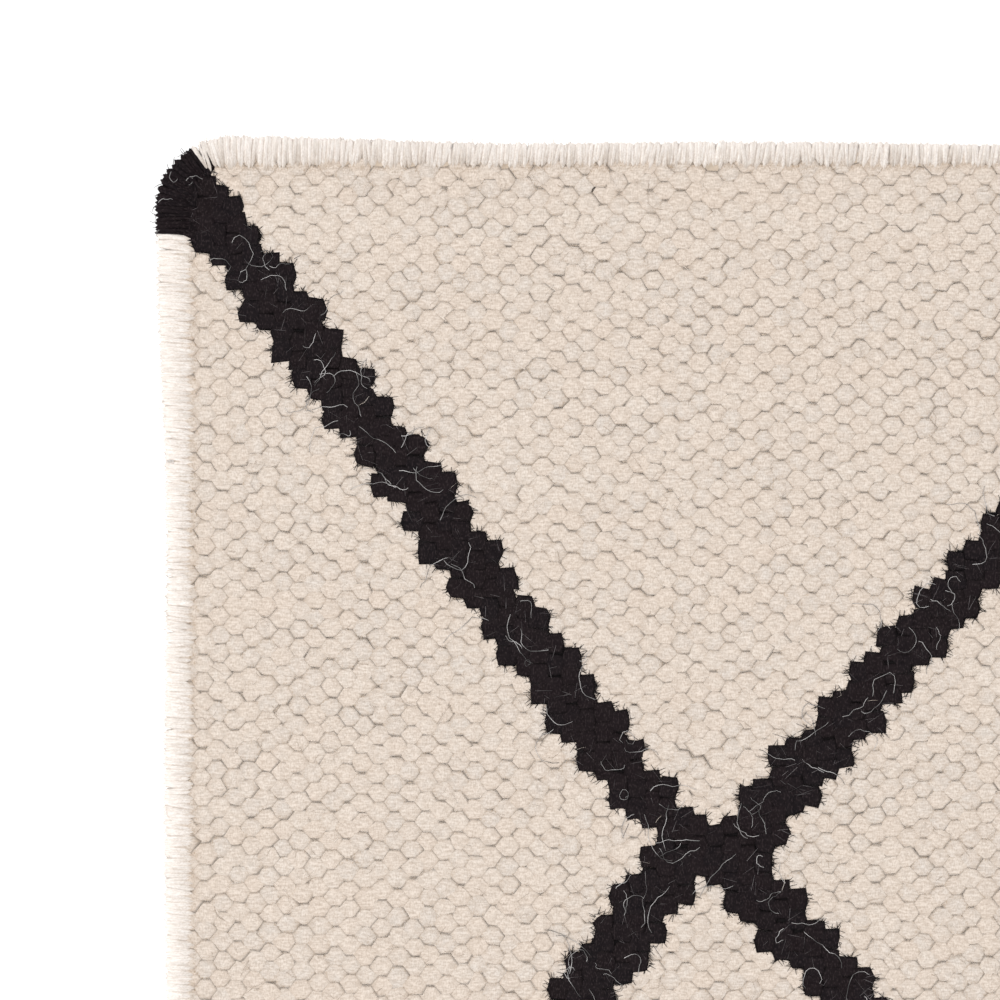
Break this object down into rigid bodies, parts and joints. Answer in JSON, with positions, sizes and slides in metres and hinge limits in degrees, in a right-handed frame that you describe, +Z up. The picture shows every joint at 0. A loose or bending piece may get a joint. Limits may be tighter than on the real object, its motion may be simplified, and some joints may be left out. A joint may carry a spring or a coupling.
{
  "type": "kilim rug",
  "caption": "Flat-woven rectangular wool kilim rug in cream with a dark diamond lattice and a yarn-overcast edge, for laying on a floor.",
  "frame": {"origin": "on the floor under the middle of the rug", "axes": "+X across the rug along the weft, +Y along the warp towards the head end, +Z up out of the face"},
  "size_m": [0.6696, 0.8, 0.0058],
  "materials": {
    "field_wool": "weft-faced wool plain weave, cream with a dark diamond lattice",
    "dark_wool": "matte near-black wool yarn with a few pale hairs",
    "pale_wool": "matte pale cream wool yarn, overcast side by side"
  },
  "bodies": {
    "root": {"field": "field_wool", "binding_dark_right": "dark_wool", "binding_dark_head_right": "dark_wool", "binding_dark_head": "dark_wool", "binding_dark_head_left": "dark_wool", "binding_dark_left": "dark_wool", "binding_dark_foot_left": "dark_wool", "binding_dark_foot": "dark_wool", "binding_dark_foot_right": "dark_wool", "binding_pale_1": "pale_wool", "binding_pale_2": "pale_wool", "binding_pale_3": "pale_wool", "binding_pale_4": "pale_wool", "binding_pale_5": "pale_wool", "binding_pale_6": "pale_wool", "binding_pale_7": "pale_wool", "binding_pale_8": "pale_wool"}
  },
  "joints": []
}
